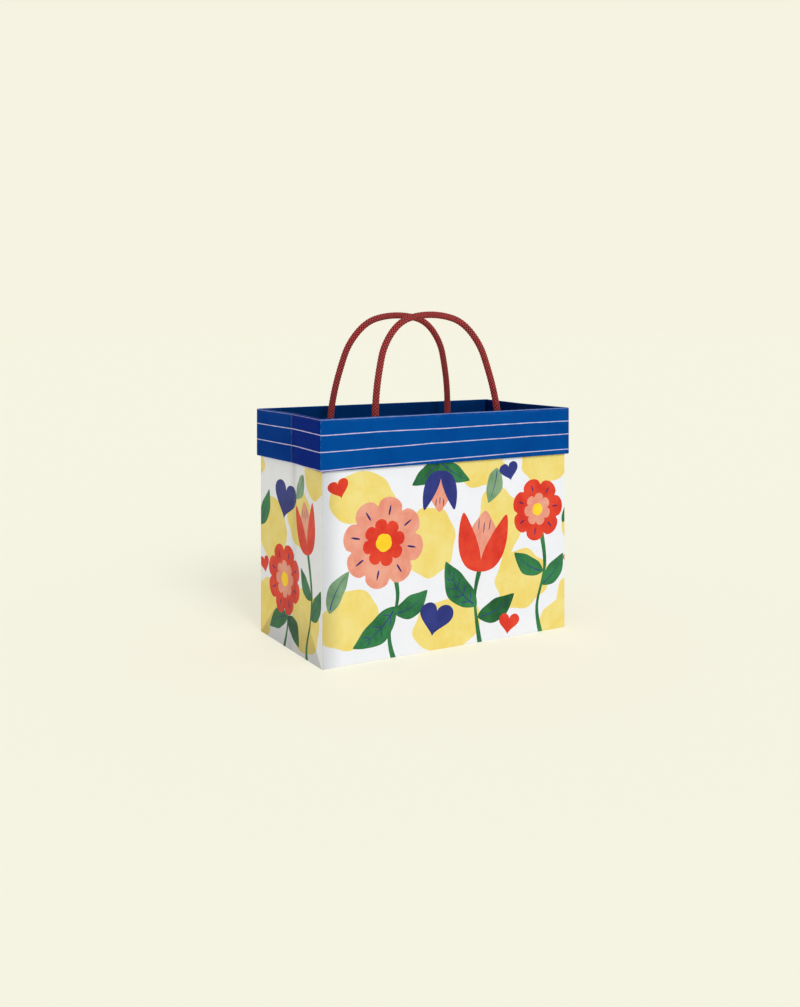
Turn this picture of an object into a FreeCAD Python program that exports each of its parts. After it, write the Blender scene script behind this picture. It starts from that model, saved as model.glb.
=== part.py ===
import FreeCAD, Part
import math
import os
import Sketcher

# A block-bottom gift bag of printed paper, with a deep coloured cuff round its mouth and two cord handles.
# +Z is up, the front faces -Y, and the origin is on the ground at the middle of the bottom.
# Lengths are millimetres.

SIZES = [
    ("bag_width", 245, "outside of the paper, side to side"),
    ("bag_depth", 126, "outside of the paper, front to back"),
    ("bag_height", 200, "ground to rim"),
    ("paper_gauge", 0.5, "coated paper of the walls"),
    ("gusset_tuck", 4.5, "how far each side's middle crease is pushed in"),
    ("crease_gap", 0.4, "room at a crease that works as a hinge"),
    ("cuff_height", 42, "outer face of the cuff"),
    ("cuff_gauge", 0.6, "card of the cuff"),
    ("lining_depth", 34, "cuff's turned-in lining, below the rim"),
    ("rim_board_gauge", 1.0, "stiffening board between wall and cuff"),
    ("rim_board_height", 36, "stiffening board, top to bottom"),
    ("rim_board_inset", 3, "stiffening board, in from the wall's side edges"),
    ("rim_board_drop", 2, "top of the stiffening board, below the rim"),
    ("base_board_gauge", 1.2, "loose-cut board glued over the bottom flaps"),
    ("base_board_clear", 1.4, "base board, in from the walls' inner faces"),
    ("base_board_corner", 3, "rounding of the base board's corners"),
    ("flap_overlap", 18, "front and back bottom flaps over each other"),
    ("side_flap_reach", 56, "side bottom flaps, in from the sides"),
    ("seam_tab_width", 15, "glued tab along a seam"),
    ("cord_diameter", 6, "braided cord"),
    ("cord_hole", 7.4, "punched holes that the cord goes through"),
    ("cord_spacing", 126, "between the two holes of one handle"),
    ("cord_drop", 25, "holes below the rim"),
    ("barb_length", 22, "flat bar crimped on a cord's end"),
    ("barb_width", 7.5, "flat bar crimped on a cord's end"),
    ("barb_gauge", 1.1, "flat bar crimped on a cord's end"),
    ("barb_clear", 0.1, "room between a barb and the cuff's outer face"),
]

# Half of a handle's centreline, from its barb to near the top of the loop. Each point is measured from
# the hole's centre at the barb's inner face: towards the middle of the bag's width, in from the wall, up.
HALF_HANDLE = [
    (0.0, 0.0, 0.0),
    (0.0, 9.2, 0.0),
    (0.0, 17.3, 5.0),
    (0.0, 21.6, 13.4),
    (0.4, 22.5, 24.0),
    (2.8, 25.1, 42.5),
    (7.0, 27.7, 61.0),
    (13.5, 30.8, 83.0),
    (30.0, 33.6, 102.7),
    (51.0, 34.5, 109.0),
]
# The cord bends about the middle of this run when the loop is swung over: its lower point's place above.
BEND_RUN = 4
ARC_SHARE = 0.45

# Places shared by several pieces, as expressions of the sheet's sizes.
HALF_WIDTH = "(Sizes.bag_width / 2)"
HALF_DEPTH = "(Sizes.bag_depth / 2)"
RIM = "Sizes.bag_height"
PAPER = "Sizes.paper_gauge"
CARD = "Sizes.cuff_gauge"
GAP = "Sizes.crease_gap"
# The cuff's outer face stands out from the wall by what lies between them, and by its own card.
CUFF_STAND = "(Sizes.rim_board_gauge + Sizes.barb_gauge + Sizes.barb_clear + Sizes.cuff_gauge)"
WALL_INSIDE = f"({HALF_DEPTH} - {PAPER})"
SIDE_INSIDE = f"({HALF_WIDTH} - {PAPER})"
CUFF_OUTSIDE = f"({HALF_DEPTH} + {CUFF_STAND})"
UNDER_RIM = f"({RIM} - {CARD})"
CUFF_FOOT = f"({RIM} - Sizes.cuff_height)"
LINING_FOOT = f"({RIM} - Sizes.lining_depth)"
BARB_INSIDE = f"({HALF_DEPTH} + Sizes.rim_board_gauge)"
HOLE_HEIGHT = f"({RIM} - Sizes.cord_drop)"

FRONT_BACK = (("front", -1), ("back", 1))
LEFT_RIGHT = (("left", -1), ("right", 1))

doc = FreeCAD.newDocument("GiftBag")
sheet = doc.addObject("Spreadsheet::Sheet", "Sizes")
for row, (alias, number, note) in enumerate(SIZES, 1):
    sheet.set(f"A{row}", alias)
    sheet.set(f"B{row}", str(number))
    sheet.setAlias(f"B{row}", alias)
    sheet.set(f"C{row}", note)
doc.recompute()

pieces = {}


def value(expression):
    """The number that an expression of the sheet's sizes gives."""
    return float(sheet.evalExpression(expression))


def new_body(label):
    body = doc.addObject("PartDesign::Body", label)
    body.Label = label
    pieces[label] = body
    return body


def new_sketch(body, role, offset):
    """A sketch on one of the body's own origin planes, moved along the plane's normal."""
    plane = next(feature for feature in body.Origin.OriginFeatures if feature.Role == role)
    sketch = body.newObject("Sketcher::SketchObject", "Outline")
    sketch.AttachmentSupport = [(plane, "")]
    sketch.MapMode = "FlatFace"
    sketch.setExpression("AttachmentOffset.Base.z", offset)
    return sketch


def pin_point(sketch, geometry, end, across, up):
    """Ties one point of a sketch to the origin by two sizes."""
    for kind, expression in (("DistanceX", across), ("DistanceY", up)):
        number = sketch.addConstraint(Sketcher.Constraint(kind, -1, 1, geometry, end, value(expression)))
        sketch.setExpression(f"Constraints[{number}]", expression)


def draw_outline(sketch, corners):
    """A closed outline of straight edges, each corner tied to sizes."""
    points = [FreeCAD.Vector(value(across), value(up), 0) for across, up in corners]
    count = len(points)
    for index in range(count):
        sketch.addGeometry(Part.LineSegment(points[index], points[(index + 1) % count]))
    for index in range(count):
        sketch.addConstraint(Sketcher.Constraint("Coincident", index, 2, (index + 1) % count, 1))
    for index, (across, up) in enumerate(corners):
        pin_point(sketch, index, 1, across, up)


def pad(body, role, corners, low, high):
    """Material with this outline between two places along the plane's axis (X, Y or Z), low to high."""
    against_axis = role == "XZ_Plane"
    sketch = new_sketch(body, role, f"-({high})" if against_axis else low)
    draw_outline(sketch, corners)
    feature = body.newObject("PartDesign::Pad", "Pad")
    feature.Profile = sketch
    feature.setExpression("Length", f"({high}) - ({low})")
    return feature


def rectangle(across_low, across_high, up_low, up_high):
    return [(across_low, up_low), (across_high, up_low), (across_high, up_high), (across_low, up_high)]


def punch_cord_holes(body, low, high):
    """The pair of holes for one handle, through a layer that lies between two places along Y."""
    sketch = new_sketch(body, "XZ_Plane", f"-({low})")
    for number, side in enumerate((-1, 1)):
        across = f"{side} * Sizes.cord_spacing / 2"
        centre = FreeCAD.Vector(value(across), value(HOLE_HEIGHT), 0)
        sketch.addGeometry(Part.Circle(centre, FreeCAD.Vector(0, 0, 1), value("Sizes.cord_hole") / 2))
        diameter = sketch.addConstraint(Sketcher.Constraint("Diameter", number, value("Sizes.cord_hole")))
        sketch.setExpression(f"Constraints[{diameter}]", "Sizes.cord_hole")
        pin_point(sketch, number, 3, across, HOLE_HEIGHT)
    doc.recompute()
    before = body.Shape.Volume
    feature = body.newObject("PartDesign::Pocket", "CordHoles")
    feature.Profile = sketch
    feature.setExpression("Length", f"({high}) - ({low})")
    doc.recompute()
    if body.Shape.Volume >= before:
        raise RuntimeError(f"the cord holes cut nothing out of {body.Label}")


def along_y(side, near, far):
    """Two distances from the middle, as low and high places along Y on the front (-1) or the back (1)."""
    places = [f"{side} * ({near})", f"{side} * ({far})"]
    return places if side > 0 else places[::-1]


def make_panel(name, side):
    """Front or back wall: one panel of the printed sheet, from crease to crease."""
    body = new_body(f"{name}_panel")
    low, high = along_y(side, WALL_INSIDE, HALF_DEPTH)
    top = f"({UNDER_RIM} - {GAP} / 4)"
    pad(body, "XZ_Plane", rectangle(f"-{HALF_WIDTH}", HALF_WIDTH, "0", top), low, high)
    punch_cord_holes(body, low, high)


def make_rim_board(name, side):
    """Board glued to the outside of the wall, under the cuff, that spreads the handle's pull."""
    body = new_body(f"{name}_rim_board")
    low, high = along_y(side, HALF_DEPTH, BARB_INSIDE)
    half_length = f"({HALF_WIDTH} - Sizes.rim_board_inset)"
    top = f"({RIM} - Sizes.rim_board_drop)"
    outline = rectangle(f"-{half_length}", half_length, f"{top} - Sizes.rim_board_height", top)
    pad(body, "XZ_Plane", outline, low, high)
    punch_cord_holes(body, low, high)


def make_cuff_band(name, side):
    """Front or back of the cuff: outer face, top edge over the rim, foot turned in to the wall, lining inside."""
    body = new_body(f"cuff_{name}")
    outer_inside = f"({CUFF_OUTSIDE} - {CARD})"
    lining_inside = f"({WALL_INSIDE} - {CARD})"
    full_half = f"({HALF_WIDTH} + {CUFF_STAND})"
    inner_half = f"({full_half} - {CARD} - {GAP})"
    lining_half = f"({SIDE_INSIDE} - {CARD} - {GAP})"

    def layer(near, far, low, high, half_length):
        section = rectangle(f"{side} * {near}", f"{side} * {far}", low, high)
        pad(body, "YZ_Plane", section, f"-{half_length}", half_length)

    layer(outer_inside, CUFF_OUTSIDE, CUFF_FOOT, RIM, full_half)
    layer(lining_inside, outer_inside, UNDER_RIM, RIM, inner_half)
    layer(HALF_DEPTH, outer_inside, CUFF_FOOT, f"{CUFF_FOOT} + {CARD}", inner_half)
    layer(lining_inside, WALL_INSIDE, LINING_FOOT, UNDER_RIM, lining_half)
    punch_cord_holes(body, *along_y(side, lining_inside, WALL_INSIDE))


def side_place(side, out, depth):
    """Place along X of a side layer that stands this far out from the paper, at this depth from the middle."""
    return f"{side} * ({HALF_WIDTH} + {out} - Sizes.gusset_tuck * (1 - {depth} / {HALF_DEPTH}))"


def make_cuff_side(name, side, half_name, half):
    """Half of the cuff's side, from a corner to the gusset's middle crease, with the same section as the front."""
    body = new_body(f"cuff_{name}_{half_name}")
    crease = f"({GAP} / 2)"
    outer_end = f"({CUFF_OUTSIDE} - {CARD} - {GAP})"
    inner_end = f"({WALL_INSIDE} - {CARD} - {GAP})"

    def layer(inner, outer, end, low, high):
        corners = [
            (side_place(side, inner, crease), f"{half} * {crease}"),
            (side_place(side, outer, crease), f"{half} * {crease}"),
            (side_place(side, outer, end), f"{half} * {end}"),
            (side_place(side, inner, end), f"{half} * {end}"),
        ]
        pad(body, "XY_Plane", corners, low, high)

    lining = f"-{PAPER} - {CARD}"
    face_inside = f"{CUFF_STAND} - {CARD}"
    layer(face_inside, CUFF_STAND, outer_end, CUFF_FOOT, RIM)
    layer(lining, face_inside, inner_end, UNDER_RIM, RIM)
    layer(lining, f"-{PAPER}", inner_end, LINING_FOOT, UNDER_RIM)
    layer("0", face_inside, inner_end, CUFF_FOOT, f"{CUFF_FOOT} + {CARD}")


def make_gusset(name, side, half_name, half):
    """Half of a side wall: a flat facet down to the slanting base crease, and the triangle below it."""
    label = f"{name}_gusset_{half_name}"
    crease = half * value(f"{GAP} / 2")
    corner = half * value(f"{WALL_INSIDE} - {GAP}")
    corner_across = value(side_place(side, "0", f"({WALL_INSIDE} - {GAP})"))
    crease_across = value(side_place(side, "0", f"({GAP} / 2)"))
    top = value(f"{UNDER_RIM} - {GAP} / 4")
    fold_height = value(HALF_DEPTH)
    foot = FreeCAD.Vector(corner_across, corner, 0)
    head = FreeCAD.Vector(corner_across, corner, top)
    crease_head = FreeCAD.Vector(crease_across, crease, top)
    crease_foot = FreeCAD.Vector(crease_across, crease, fold_height)
    bottom_middle = FreeCAD.Vector(corner_across, crease, 0)
    inward = FreeCAD.Vector(-side * value(PAPER), 0, 0)
    upper = Part.Face(Part.makePolygon([foot, head, crease_head, crease_foot, foot])).extrude(inward)
    lower = Part.Face(Part.makePolygon([foot, crease_foot, bottom_middle, foot])).extrude(inward)
    piece = doc.addObject("Part::Feature", label)
    piece.Label = label
    piece.Shape = upper.fuse(lower).removeSplitter()
    piece.Placement = FreeCAD.Placement()
    pieces[label] = piece


def make_seam_tab(name, side, hand):
    """Tab of the other sheet, folded round the corner and glued to the inside of this wall."""
    body = new_body(f"{name}_seam_tab")
    edge = f"({SIDE_INSIDE} - {GAP})"
    ends = [f"{hand} * {edge}", f"{hand} * ({edge} - Sizes.seam_tab_width)"]
    if hand > 0:
        ends.reverse()
    foot = f"(4 * {PAPER} + Sizes.base_board_gauge + {GAP})"
    outline = rectangle(ends[0], ends[1], foot, f"{LINING_FOOT} - {GAP}")
    pad(body, "XZ_Plane", outline, *along_y(side, f"{WALL_INSIDE} - {PAPER}", WALL_INSIDE))


def make_bottom():
    """The folded bottom: the front flap on the ground, the back flap over its edge, the side flaps and a board."""
    across = f"({SIDE_INSIDE} - {GAP})"
    edge = f"({WALL_INSIDE} - {GAP})"
    lap = "(Sizes.flap_overlap / 2)"
    front = new_body("front_bottom_flap")
    pad(front, "XY_Plane", rectangle(f"-{across}", across, f"-{edge}", lap), "0", PAPER)
    back = new_body("back_bottom_flap")
    step = f"({lap} + {GAP})"
    section = [
        (edge, "0"),
        (edge, PAPER),
        (f"{step} + {PAPER}", PAPER),
        (f"{step} + {PAPER}", f"2 * {PAPER}"),
        (f"-{lap}", f"2 * {PAPER}"),
        (f"-{lap}", PAPER),
        (step, PAPER),
        (step, "0"),
    ]
    pad(back, "YZ_Plane", section, f"-{across}", across)
    for name, side in LEFT_RIGHT:
        flap = new_body(f"{name}_bottom_flap")
        reach = "Sizes.side_flap_reach"
        outline = [
            (f"{side} * {across}", f"-{edge}"),
            (f"{side} * {across}", edge),
            (f"{side} * ({across} - {reach})", f"{edge} - {reach}"),
            (f"{side} * ({across} - {reach})", f"-({edge} - {reach})"),
        ]
        pad(flap, "XY_Plane", outline, f"2 * {PAPER}", f"3 * {PAPER}")
    board = new_body("base_board")
    clear = "Sizes.base_board_clear"
    half_length = f"({SIDE_INSIDE} - {clear})"
    half_breadth = f"({WALL_INSIDE} - {clear})"
    outline = rectangle(f"-{half_length}", half_length, f"-{half_breadth}", half_breadth)
    block = pad(board, "XY_Plane", outline, f"3 * {PAPER}", f"3 * {PAPER} + Sizes.base_board_gauge")
    doc.recompute()
    upright = [
        f"Edge{number}"
        for number, edge_shape in enumerate(block.Shape.Edges, 1)
        if edge_shape.BoundBox.ZLength > value("Sizes.base_board_gauge") / 2
    ]
    rounding = board.newObject("PartDesign::Fillet", "Corners")
    rounding.Base = (block, upright)
    rounding.setExpression("Radius", "Sizes.base_board_corner")


def make_barb(name, side, hand_name, hand):
    """Flat bar crimped across a cord's end, lying upright between the rim board and the cuff."""
    body = new_body(f"{name}_cord_barb_{hand_name}")
    middle = f"{hand} * Sizes.cord_spacing / 2"
    outline = rectangle(
        f"{middle} - Sizes.barb_width / 2",
        f"{middle} + Sizes.barb_width / 2",
        f"{HOLE_HEIGHT} - Sizes.barb_length / 2",
        f"{HOLE_HEIGHT} + Sizes.barb_length / 2",
    )
    block = pad(body, "XZ_Plane", outline, *along_y(side, BARB_INSIDE, f"{BARB_INSIDE} + Sizes.barb_gauge"))
    doc.recompute()
    through = [
        f"Edge{number}"
        for number, edge_shape in enumerate(block.Shape.Edges, 1)
        if edge_shape.BoundBox.YLength > value("Sizes.barb_gauge") / 2
    ]
    rounding = body.newObject("PartDesign::Fillet", "Ends")
    rounding.Base = (block, through)
    rounding.setExpression("Radius", "Sizes.barb_width * 0.45")


def rounded_path(points):
    """Straight runs joined by tangent arcs, as large as the two runs beside each point allow."""
    edges = []
    radii = []
    start = points[0]
    for before, corner, after in zip(points, points[1:], points[2:]):
        back = (before - corner).normalize()
        onward = (after - corner).normalize()
        half_turn = (math.pi - back.getAngle(onward)) / 2
        cut = ARC_SHARE * min((before - corner).Length, (after - corner).Length)
        radius = cut / math.tan(half_turn)
        bisector = (back + onward).normalize()
        centre = corner + bisector * (radius / math.cos(half_turn))
        arc_start = corner + back * cut
        arc_end = corner + onward * cut
        edges.append(Part.LineSegment(start, arc_start).toShape())
        edges.append(Part.Arc(arc_start, centre - bisector * radius, arc_end).toShape())
        radii.append(radius)
        start = arc_end
    edges.append(Part.LineSegment(start, points[-1]).toShape())
    return Part.Wire(edges), radii


def make_tube(label, points):
    path, radii = rounded_path(points)
    radius = value("Sizes.cord_diameter") / 2
    direction = (points[1] - points[0]).normalize()
    circle = Part.Wire([Part.Circle(points[0], direction, radius).toShape()])
    tube = path.makePipeShell([circle], True, False)
    if abs(tube.Volume - math.pi * radius**2 * path.Length) > 0.01 * tube.Volume:
        raise RuntimeError(f"{label} isn't its section times its length")
    piece = doc.addObject("Part::Feature", label)
    piece.Label = label
    piece.Shape = tube
    piece.Placement = FreeCAD.Placement()
    pieces[label] = piece
    print(label, "length", round(path.Length, 1), "radii", [round(radius, 1) for radius in radii])


def make_handle(name, side):
    """One cord handle: a leg from each barb up to the rim, and the loop between them, above its bend."""
    half_spacing = value("Sizes.cord_spacing / 2")
    barb_face = value(BARB_INSIDE)
    height = value(HOLE_HEIGHT)

    def half(hand):
        return [
            FreeCAD.Vector(hand * (half_spacing - inboard), side * (barb_face - inward), height + up)
            for inboard, inward, up in HALF_HANDLE
        ]

    bends = []
    for hand_name, hand in LEFT_RIGHT:
        points = half(hand)
        bend = (points[BEND_RUN] + points[BEND_RUN + 1]) / 2
        make_tube(f"{name}_cord_leg_{hand_name}", points[: BEND_RUN + 1] + [bend])
        bends.append(bend)
    left, right = half(-1), half(1)
    loop = [bends[0]] + left[BEND_RUN + 1 :] + right[BEND_RUN + 1 :][::-1] + [bends[1]]
    make_tube(f"{name}_handle_loop", loop)
    print(name, "handle bends at y", round(bends[0].y, 3), "z", round(bends[0].z, 3))


for wall_name, wall_side in FRONT_BACK:
    make_panel(wall_name, wall_side)
    make_rim_board(wall_name, wall_side)
    make_cuff_band(wall_name, wall_side)
    make_handle(wall_name, wall_side)
    for hand_name, hand_side in LEFT_RIGHT:
        make_barb(wall_name, wall_side, hand_name, hand_side)
for side_name, side_hand in LEFT_RIGHT:
    for wall_name, wall_side in FRONT_BACK:
        make_gusset(side_name, side_hand, wall_name, wall_side)
        make_cuff_side(side_name, side_hand, wall_name, wall_side)
make_seam_tab("front", -1, -1)
make_seam_tab("back", 1, 1)
make_bottom()

doc.recompute()
for item in doc.Objects:
    if {"Invalid", "Error"} & set(item.State):
        raise RuntimeError(f"{item.Label} failed: {item.State}")
for label, piece in pieces.items():
    if piece.Shape.isNull() or not piece.Shape.isValid() or not piece.Shape.Solids:
        raise RuntimeError(f"{label} has no valid solid")

os.makedirs("parts", exist_ok=True)
for label, piece in pieces.items():
    piece.Shape.exportStep(f"parts/{label}.step")
print(len(pieces), "pieces")
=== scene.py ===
import math
import random

import bpy
import numpy as np
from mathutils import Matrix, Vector
from mathutils.geometry import delaunay_2d_cdt


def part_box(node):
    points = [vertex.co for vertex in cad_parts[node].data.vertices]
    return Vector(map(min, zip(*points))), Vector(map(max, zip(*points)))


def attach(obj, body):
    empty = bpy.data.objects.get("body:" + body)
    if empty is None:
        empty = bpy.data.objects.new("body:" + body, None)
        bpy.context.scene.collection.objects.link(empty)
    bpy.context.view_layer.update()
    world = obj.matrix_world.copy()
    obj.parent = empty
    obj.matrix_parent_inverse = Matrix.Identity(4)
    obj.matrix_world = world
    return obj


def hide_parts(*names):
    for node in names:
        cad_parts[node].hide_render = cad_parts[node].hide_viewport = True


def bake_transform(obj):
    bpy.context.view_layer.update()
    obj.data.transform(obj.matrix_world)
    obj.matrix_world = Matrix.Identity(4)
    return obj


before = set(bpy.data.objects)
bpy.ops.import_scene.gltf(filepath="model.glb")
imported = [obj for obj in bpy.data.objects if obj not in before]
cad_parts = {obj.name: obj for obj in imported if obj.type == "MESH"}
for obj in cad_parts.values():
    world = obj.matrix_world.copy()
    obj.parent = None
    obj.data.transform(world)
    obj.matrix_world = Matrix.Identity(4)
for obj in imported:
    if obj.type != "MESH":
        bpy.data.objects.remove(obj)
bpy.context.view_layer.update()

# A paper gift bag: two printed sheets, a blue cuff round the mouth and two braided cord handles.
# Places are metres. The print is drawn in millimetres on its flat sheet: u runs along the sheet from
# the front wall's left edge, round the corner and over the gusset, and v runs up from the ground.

MM = 0.001

PANEL_LOW, PANEL_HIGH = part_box("front_panel")
CUFF_LOW, CUFF_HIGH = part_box("cuff_front")
HALF_WIDTH = PANEL_HIGH.x / MM
HALF_DEPTH = -PANEL_LOW.y / MM
PAPER_TOP = PANEL_HIGH.z / MM
RIM = CUFF_HIGH.z / MM
CUFF_FOOT = CUFF_LOW.z / MM
CUFF_OUT = -CUFF_LOW.y / MM - HALF_DEPTH
LINING_OUT = -CUFF_HIGH.y / MM - HALF_DEPTH
PAPER = 0.5
CARD = 0.6
LINING_DEPTH = 34
GUSSET_TUCK = HALF_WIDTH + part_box("left_gusset_front")[1].x / MM - PAPER
CORNER_RADIUS = 0.8
WALL_LENGTH = 2 * HALF_WIDTH
SHEET_LENGTH = 2 * HALF_WIDTH + 2 * HALF_DEPTH

CORD_DIAMETER = 6.0

CAMERA_PLACE = (-0.495, -0.830, 0.273)
CAMERA_TURN = -30.07
CAMERA_LENS = 38.2
CAMERA_RISE = -0.175


def clear_selection():
    for thing in bpy.context.selected_objects:
        thing.select_set(False)


clear_selection()


# ---------------------------------------------------------------- camera


def make_camera():
    """At table height, a little above the rim, off the bag's left front corner."""
    data = bpy.data.cameras.new("camera")
    camera = bpy.data.objects.new("camera", data)
    bpy.context.scene.collection.objects.link(camera)
    camera.location = CAMERA_PLACE
    camera.rotation_euler = (math.radians(90), 0, math.radians(CAMERA_TURN))
    data.sensor_width = 36
    data.lens = CAMERA_LENS
    data.shift_y = CAMERA_RISE
    data.clip_start = 0.01
    data.clip_end = 50
    bpy.context.scene.camera = camera


make_camera()


# ---------------------------------------------------------------- colours and node helpers


def tone(red, green, blue):
    """A screen colour, 0 to 255 a channel, as the linear colour that a shader takes."""
    channels = []
    for channel in (red, green, blue):
        share = channel / 255
        channels.append(share / 12.92 if share <= 0.04045 else ((share + 0.055) / 1.055) ** 2.4)
    return (*channels, 1.0)


CREAM = tone(246, 243, 226)
PALE_FOLD = tone(236, 236, 240)
# Black for painted shade at the folds, along the glued seam and on the folded-in triangle.
PAINTED_SHADE_BLACK = (0.0, 0.0, 0.0, 1.0)
# Dark blue for painted shade on the cuff's sides.
SIDE_SHADE_BLUE = tone(0, 12, 119)
# Navy of the lining, darkened further as painted shade inside the mouth.
LINING_NAVY_AND_SHADE = tone(2, 26, 62)
RUBBED_BLUE = tone(120, 156, 210)
LILAC = tone(206, 194, 232)
FLOOR_GLOW = 0.58
FLOOR_SIZE = 400
KEY_STRENGTH = 1.35
KEY_SOFTNESS = 22
KEY_TINT = (0.93, 0.97, 1.0)
KEY_DIRECTION = (0.06, 1.0, -0.72)
OVERHEAD = (0.34, 0.37, 0.42, 1)
CREAM_UP_TO = 0.30
OVERHEAD_FROM = 0.85

# Widths in millimetres: shade along the glued seam, shade on the folded triangle at a side's bottom,
# a ruled stripe's wander, and half of a cuff side.
SEAM_SHADE = 20
TRIANGLE_SHADE = 50
STRIPE_WANDER = 1.3
SIDE_REACH = 62

# Each paint has a thin wash and a full one.
PAINTS = {
    "paper": ((229, 230, 241), (226, 227, 238)),
    "yellow": ((230, 213, 135), (227, 201, 104)),
    "red": ((220, 68, 44), (202, 40, 28)),
    "pink": ((227, 160, 140), (217, 131, 112)),
    "green": ((52, 124, 75), (26, 90, 53)),
    "deep green": ((40, 108, 58), (16, 72, 40)),
    "sage": ((130, 162, 128), (94, 134, 100)),
    "indigo": ((46, 56, 132), (34, 42, 112)),
    "gold": ((248, 212, 50), (240, 190, 26)),
    "ink": ((44, 36, 110), (32, 24, 88)),
}


class Nodes:
    """A new node material, with short ways to add nodes and join them."""

    def __init__(self, name):
        self.material = bpy.data.materials.new(name)
        self.material.use_nodes = True
        self.tree = self.material.node_tree
        self.shader = self.tree.nodes["Principled BSDF"]

    def add(self, kind, **settings):
        node = self.tree.nodes.new(kind)
        for key, setting in settings.items():
            setattr(node, key, setting)
        return node

    def join(self, source, target):
        self.tree.links.new(source, target)

    def math(self, operation, first, second=0.0, third=None, clamp=False):
        node = self.add("ShaderNodeMath", operation=operation, use_clamp=clamp)
        for socket, source in zip(node.inputs, (first, second, third)):
            if source is None:
                continue
            if isinstance(source, (int, float)):
                socket.default_value = source
            else:
                self.join(source, socket)
        return node.outputs[0]

    def mix(self, factor, first, second, blend_type="MIX"):
        node = self.add("ShaderNodeMix", data_type="RGBA", blend_type=blend_type)
        for place, source in ((0, factor), (6, first), (7, second)):
            socket = node.inputs[place]
            if isinstance(source, (int, float, tuple)):
                socket.default_value = source
            else:
                self.join(source, socket)
        return node.outputs[2]

    def noise(self, vector, scale, detail=2.0, roughness=0.5, distortion=0.0):
        node = self.add("ShaderNodeTexNoise")
        self.join(vector, node.inputs["Vector"])
        node.inputs["Scale"].default_value = scale
        node.inputs["Detail"].default_value = detail
        node.inputs["Roughness"].default_value = roughness
        node.inputs["Distortion"].default_value = distortion
        return node.outputs["Fac"]

    def ramp(self, source, low, high):
        """0 below low, 1 above high, with a smooth step between."""
        node = self.add("ShaderNodeMapRange", interpolation_type="SMOOTHSTEP")
        self.join(source, node.inputs["Value"])
        node.inputs["From Min"].default_value = low
        node.inputs["From Max"].default_value = high
        return node.outputs["Result"]

    def stretch(self, vector, scale):
        node = self.add("ShaderNodeMapping")
        self.join(vector, node.inputs["Vector"])
        node.inputs["Scale"].default_value = scale
        return node.outputs["Vector"]

    def bump(self, height, strength, distance, normal=None):
        node = self.add("ShaderNodeBump")
        node.inputs["Strength"].default_value = strength
        node.inputs["Distance"].default_value = distance
        self.join(height, node.inputs["Height"])
        if normal is not None:
            self.join(normal, node.inputs["Normal"])
        return node.outputs["Normal"]

    def finish(self, colour=None, roughness=None, normal=None, **fixed):
        for name, source in (("Base Color", colour), ("Roughness", roughness), ("Normal", normal)):
            if source is None:
                continue
            if isinstance(source, (int, float, tuple)):
                self.shader.inputs[name].default_value = source
            else:
                self.join(source, self.shader.inputs[name])
        for name, number in fixed.items():
            self.shader.inputs[name.replace("_", " ")].default_value = number
        return self.material


# ---------------------------------------------------------------- materials


def fold_wear_and_shade(nodes, along, place, colour, folds):
    """Paper is bruised pale along a fold, which is wear, and painted shade darkens it beside the fold:
    colour with that wear and that painted shade at each fold.
    """
    for fold in folds:
        away = nodes.math("SUBTRACT", along, fold * MM)
        near = nodes.math("ABSOLUTE", away)
        patchy = nodes.ramp(nodes.noise(place, 420, 3, 0.6), 0.35, 0.65)
        line = nodes.math("SUBTRACT", 1.0, nodes.ramp(near, 0.10 * MM, 0.90 * MM))
        bruise = nodes.math("MULTIPLY", nodes.math("MULTIPLY", line, patchy), 0.13)
        colour = nodes.mix(bruise, colour, PALE_FOLD)
        # Painted shade: the paper darkens beside the fold.
        shade = nodes.math("SUBTRACT", 1.0, nodes.ramp(near, 0.4 * MM, 9 * MM))
        colour = nodes.mix(nodes.math("MULTIPLY", shade, 0.12), colour, PAINTED_SHADE_BLACK, "MULTIPLY")
    return colour


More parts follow.
